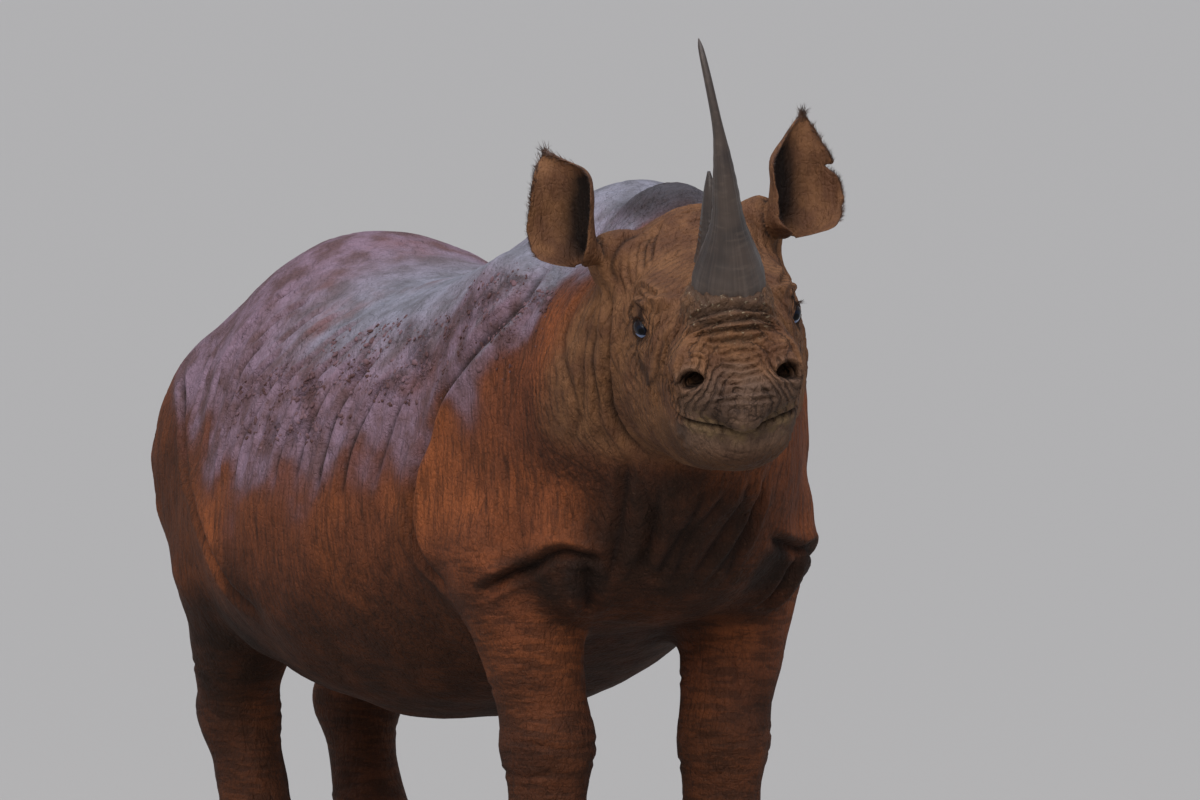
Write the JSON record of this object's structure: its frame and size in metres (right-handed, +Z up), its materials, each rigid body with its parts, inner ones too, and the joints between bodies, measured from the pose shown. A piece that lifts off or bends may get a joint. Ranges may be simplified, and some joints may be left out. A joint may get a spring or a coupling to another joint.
{
  "type": "black rhinoceros",
  "caption": "Life-size still model of a standing black rhinoceros with its head raised and turned to its right, a long slender front horn and a small rear one.",
  "frame": {"origin": "on the floor, under the middle of the model's box", "axes": "the animal faces -Y, its left side is +X, and +Z is up"},
  "size_m": [0.992, 2.7214, 1.856],
  "materials": {
    "hide": "thick wrinkled hide under a coat of dry red-brown earth, greyer on the muzzle, darker on the lower legs",
    "horn_keratin": "worn horn, dark grey-brown, satin on the shaft and rough and pale round the base",
    "nail_keratin": "worn toenail with fine upright lines, dusty",
    "eye": "wet dark brown eye",
    "hair": "coarse dark bristle"
  },
  "bodies": {
    "root": {"ear_left": "hide", "ear_right": "hide", "eye_left": "eye", "eye_right": "eye", "forefoot_left": "hide", "forefoot_right": "hide", "foreleg_left": "hide", "foreleg_left_nail_1": "nail_keratin", "foreleg_left_nail_2": "nail_keratin", "foreleg_left_nail_3": "nail_keratin", "foreleg_right": "hide", "foreleg_right_nail_1": "nail_keratin", "foreleg_right_nail_2": "nail_keratin", "foreleg_right_nail_3": "nail_keratin", "head": "hide", "hindfoot_left": "hide", "hindfoot_right": "hide", "hindleg_left": "hide", "hindleg_left_nail_1": "nail_keratin", "hindleg_left_nail_2": "nail_keratin", "hindleg_left_nail_3": "nail_keratin", "hindleg_right": "hide", "hindleg_right_nail_1": "nail_keratin", "hindleg_right_nail_2": "nail_keratin", "hindleg_right_nail_3": "nail_keratin", "horn_front": "horn_keratin", "horn_rear": "horn_keratin", "lower_jaw": "hide", "neck": "hide", "tail": "hide", "tail_tuft": "hair", "trunk": "hide"}
  },
  "joints": []
}
